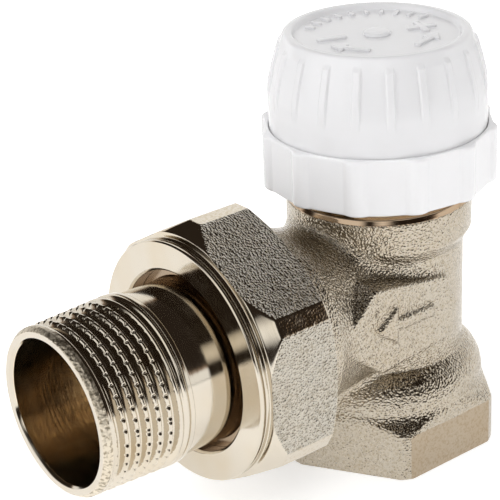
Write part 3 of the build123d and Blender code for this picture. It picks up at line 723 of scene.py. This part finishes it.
def make_cap_handle():
    """Domed handle: narrow grip ribs that fade out towards the skirt, and a dished top."""
    section = soften((
        (DOME_BOTTOM, 15.2, 0.2), (DOME_BOTTOM, DOME_R, 0.3), (56.8, DOME_R, 8), (59.2, 16.65, 8),
        (61.4, 16.25, 8), (63.6, 15.7, 8), (66.2, 14.95, 3), (DOME_TOP, 14.1, 1.6),
        (DOME_TOP, 12.9, 0.6), (RECESS_FLOOR, RECESS_R, 0.3),
        (RECESS_FLOOR, 1.0, 0), (65.0, 1.0, 0), (POST_BOTTOM, 1.0, 0), (POST_BOTTOM, POST_R, 0.3),
        (65.0, POST_R, 0.5), (65.0, 13.2, 0.8), (58.0, 15.2, 1.0),
    ), step=0.3)

    def shape(along, radius, angle):
        turn = (angle * DOME_RIBS / TAU + 0.5) % 1 - 0.5
        offset = np.abs(turn) * TAU / DOME_RIBS * radius
        across = 1 - rise(offset, RIB_WIDTH / 2 - 0.14, RIB_WIDTH / 2 + 0.08)
        length = rise(along, 57.2, 61.0) * (1 - rise(along, 66.2, 66.9))
        outside = rise(radius - (16.1 - 0.42 * np.maximum(along - 62, 0)), -1.3, -0.9) * (radius > 13.9)
        return along, radius + RIB_HEIGHT * across * length * outside

    mesh = turned("cap_handle_visual", section, 900, "spindle", shape)
    # the dome takes the darker, painted-shaded copy of the cap's white plastic
    return finish_mesh("cap_handle_visual", mesh, "handle", "cap_handle", [white])


def mark(name, outline, height, rounding=0.14):
    """Raised mark on the dished top, as a bevelled slab with the given outline in millimetres."""
    work = bmesh.new()
    face = work.faces.new([work.verts.new((x * MM, y * MM, (RECESS_FLOOR - 0.15) * MM)) for x, y in outline])
    bmesh.ops.recalc_face_normals(work, faces=work.faces)
    if face.normal.z < 0:
        bmesh.ops.reverse_faces(work, faces=work.faces)
    top = bmesh.ops.extrude_face_region(work, geom=list(work.faces))
    raised = [v for v in top["geom"] if isinstance(v, bmesh.types.BMVert)]
    bmesh.ops.translate(work, verts=raised, vec=(0, 0, (height + 0.15) * MM))
    bmesh.ops.recalc_face_normals(work, faces=work.faces)
    mesh = bpy.data.meshes.new(name)
    work.to_mesh(mesh)
    work.free()
    piece = finish_mesh(name, mesh, "handle", None, [white])
    bevel = piece.modifiers.new("edges", "BEVEL")
    bevel.width = rounding * MM
    bevel.segments = 3
    bevel.limit_method = "ANGLE"
    mesh.polygons.foreach_set("use_smooth", np.ones(len(mesh.polygons), bool))
    return piece


def at_polar(points, radius, angle):
    """Points given as (outward, sideways) from a place at radius and angle on the cap's top."""
    c, s = cos(radians(angle)), sin(radians(angle))
    return [((radius + u) * c - v * s, (radius + u) * s + v * c) for u, v in points]


def bar(length, width):
    """Outline of a bar, long outwards."""
    half, side = length / 2, width / 2
    return [(-half, -side), (half, -side), (half, side), (-half, side)]


def arrow(way):
    """Outline of an arrow round the cap; way is 1 or -1."""
    return [(-0.5, 2.2 * way), (0.5, 2.2 * way), (0.5, -1.8 * way), (1.5, -1.8 * way), (0, -4.1 * way),
            (-1.5, -1.8 * way), (-0.5, -1.8 * way)]


def make_marks():
    """Centre button, minus and plus, an arrow towards each, and a plain arc of ticks."""
    minus = -22
    height = 0.4
    button = [(2.1 * cos(TAU * k / 48), 2.1 * sin(TAU * k / 48)) for k in range(48)]
    mark("cap_mark_button", button, 0.5, 0.48)
    mark("cap_mark_minus", at_polar(bar(4.6, 1.0), 7.2, minus), height)
    cross = [(-2.3, -0.5), (-0.5, -0.5), (-0.5, -2.3), (0.5, -2.3), (0.5, -0.5), (2.3, -0.5), (2.3, 0.5),
             (0.5, 0.5), (0.5, 2.3), (-0.5, 2.3), (-0.5, 0.5), (-2.3, 0.5)]
    mark("cap_mark_plus", at_polar(cross, 7.2, minus + 180), height)
    mark("cap_mark_arrow_close", at_polar(arrow(1), 8.3, minus + 48), height)
    mark("cap_mark_arrow_open", at_polar(arrow(-1), 8.3, minus + 127), height)
    for k in range(10):
        tick = at_polar(bar(1.7, 0.6), RECESS_R - 1.8, -175 + 115 * k / 9)
        mark(f"cap_mark_tick_{k + 1}", tick, height, 0.1)


# ---------------------------------------------------------------- carried-over pieces
def dress_cad_nodes():
    """Gives every CAD node the finished material of its slot."""
    for row in frame["record"]["subparts"]:
        node = frame["nodes"][row["node"]]
        node.data.materials.clear()
        node.data.materials.append(SLOT_MATERIALS[row["material_slot"]])


# ---------------------------------------------------------------- studio
STUDIO_CENTRE = Vector((0.02, 0, 0.03))
DARK, BROWN, PALE, BRIGHT = (0.030, 0.022, 0.016), (0.34, 0.23, 0.15), (1.15, 1.145, 1.13), (1.4, 1.38, 1.34)
FLOOR_HALF, FLOOR_SHADE, FLOOR_GLOW = 12, 0.82, 0.55  # half side in metres, albedo, emission
BACKDROP_SIDE = -155  # azimuth towards which the backdrop rises, in degrees
BACKDROP_LEAN = 0.65  # how fast it rises that way
BACKDROP_EDGE = 0.09  # height of its edge to either side
FRONT_LIGHT = (52, 24)  # azimuth and elevation of the soft light in front
FRONT_EDGE = (13, 3)  # degrees from its middle at which it starts, and at which it is full
SIDE_LIGHT = (-4, 17)  # the same for the pale card beside the outlet
SIDE_EDGE = (36, 26)


def heading(azimuth, elevation):
    """Unit vector towards an azimuth and elevation given in degrees."""
    flat = cos(radians(elevation))
    return Vector((cos(radians(azimuth)) * flat, sin(radians(azimuth)) * flat, sin(radians(elevation))))


def card(name, azimuth, elevation, distance, size, power):
    """Soft square light facing the valve, from a direction given in degrees and a distance in metres."""
    light = bpy.data.lights.new(name, "AREA")
    light.size = size
    light.energy = power
    lamp = bpy.data.objects.new(name, light)
    direction = heading(azimuth, elevation)
    lamp.location = STUDIO_CENTRE + distance * direction
    lamp.rotation_mode = "QUATERNION"
    lamp.rotation_quaternion = (-direction).to_track_quat("-Z", "Y")
    lamp.visible_glossy = False
    bpy.context.scene.collection.objects.link(lamp)


def make_floor():
    """Pale seamless floor."""
    work = bmesh.new()
    bmesh.ops.create_grid(work, x_segments=8, y_segments=8, size=FLOOR_HALF)
    mesh = bpy.data.meshes.new("studio_floor")
    work.to_mesh(mesh)
    work.free()
    floor = bpy.data.objects.new("studio_floor", mesh)
    bpy.context.scene.collection.objects.link(floor)
    material, _, _, shader = new_material("studio_floor", (FLOOR_SHADE,) * 3, 0.0, 0.9)
    shader.inputs["Specular IOR Level"].default_value = 0.0
    shader.inputs["Emission Color"].default_value = (1, 1, 1, 1)
    shader.inputs["Emission Strength"].default_value = FLOOR_GLOW
    mesh.materials.append(material)


def facing(nodes, links, azimuth, elevation, edge):
    """1 where the surroundings lie towards a direction, 0 away from it, changing between two angles."""
    place = nodes.new("ShaderNodeTexCoord")
    dot = nodes.new("ShaderNodeVectorMath")
    dot.operation = "DOT_PRODUCT"
    dot.inputs[1].default_value = heading(azimuth, elevation)
    links.new(place.outputs["Generated"], dot.inputs[0])
    start, full = (cos(radians(degrees)) for degrees in edge)
    return spread(nodes, links, dot.outputs["Value"], 0, 1, start, full)


def make_world():
    """Studio surroundings: a leaning pale backdrop, dark overhead, and two soft pale patches."""
    world = bpy.data.worlds.new("studio")
    bpy.context.scene.world = world
    world.use_nodes = True
    nodes, links = world.node_tree.nodes, world.node_tree.links
    place = nodes.new("ShaderNodeTexCoord")
    lean = nodes.new("ShaderNodeVectorMath")
    lean.operation = "DOT_PRODUCT"
    lean.inputs[1].default_value = Vector((0, 0, 1)) - BACKDROP_LEAN * heading(BACKDROP_SIDE, 0)
    links.new(place.outputs["Generated"], lean.inputs[0])
    height = spread(nodes, links, lean.outputs["Value"], 0, 1, BACKDROP_EDGE, BACKDROP_EDGE + 0.1)
    backdrop = ramp(nodes, links, height, ((0.0, PALE), (0.45, BROWN), (1.0, DARK)))
    side = nodes.new("ShaderNodeMixRGB")
    side.inputs["Color2"].default_value = (*PALE, 1)
    links.new(backdrop, side.inputs["Color1"])
    links.new(facing(nodes, links, *SIDE_LIGHT, SIDE_EDGE), side.inputs["Fac"])
    glow = nodes.new("ShaderNodeMixRGB")
    glow.inputs["Color2"].default_value = (*BRIGHT, 1)
    links.new(side.outputs["Color"], glow.inputs["Color1"])
    links.new(facing(nodes, links, *FRONT_LIGHT, FRONT_EDGE), glow.inputs["Fac"])
    links.new(glow.outputs["Color"], nodes["Background"].inputs["Color"])
    nodes["Background"].inputs["Strength"].default_value = 1.0


def make_camera():
    """Long-lens camera: where it stands, how it is rolled, and how its frame is shifted."""
    azimuth, elevation, roll = radians(140.82), radians(25.94), radians(-2.19)
    target = Vector((0.020, 0, 0.030))
    back = Vector((sin(azimuth) * cos(elevation), -cos(azimuth) * cos(elevation), sin(elevation)))
    right = Vector((cos(azimuth), sin(azimuth), 0))
    up = back.cross(right)
    turned_right = cos(roll) * right + sin(roll) * up
    turned_up = -sin(roll) * right + cos(roll) * up
    data = bpy.data.cameras.new("camera")
    data.sensor_width = 36
    data.lens = 125.5
    data.shift_x, data.shift_y = -0.0672, 0.0962
    data.clip_start, data.clip_end = 0.01, 20
    camera = bpy.data.objects.new("camera", data)
    place = Matrix((turned_right, turned_up, back)).transposed().to_4x4()
    place.translation = target + back * 0.2666
    camera.matrix_world = place
    bpy.context.scene.collection.objects.link(camera)
    bpy.context.scene.camera = camera


make_forging()
make_neck()
make_union_end()
make_inlet_thread()
make_union_nut()
make_tailpiece()
make_cap_ring()
make_cap_handle()
make_marks()
dress_cad_nodes()
make_floor()
make_world()
make_camera()
card("key_left", -30, 50, 0.8, 0.4, 2.6)
card("key_front", 55, 50, 0.8, 0.35, 2.6)
card("fill_right", 125, 25, 0.8, 0.5, 1.5)
bpy.context.scene.view_settings.view_transform = "Standard"
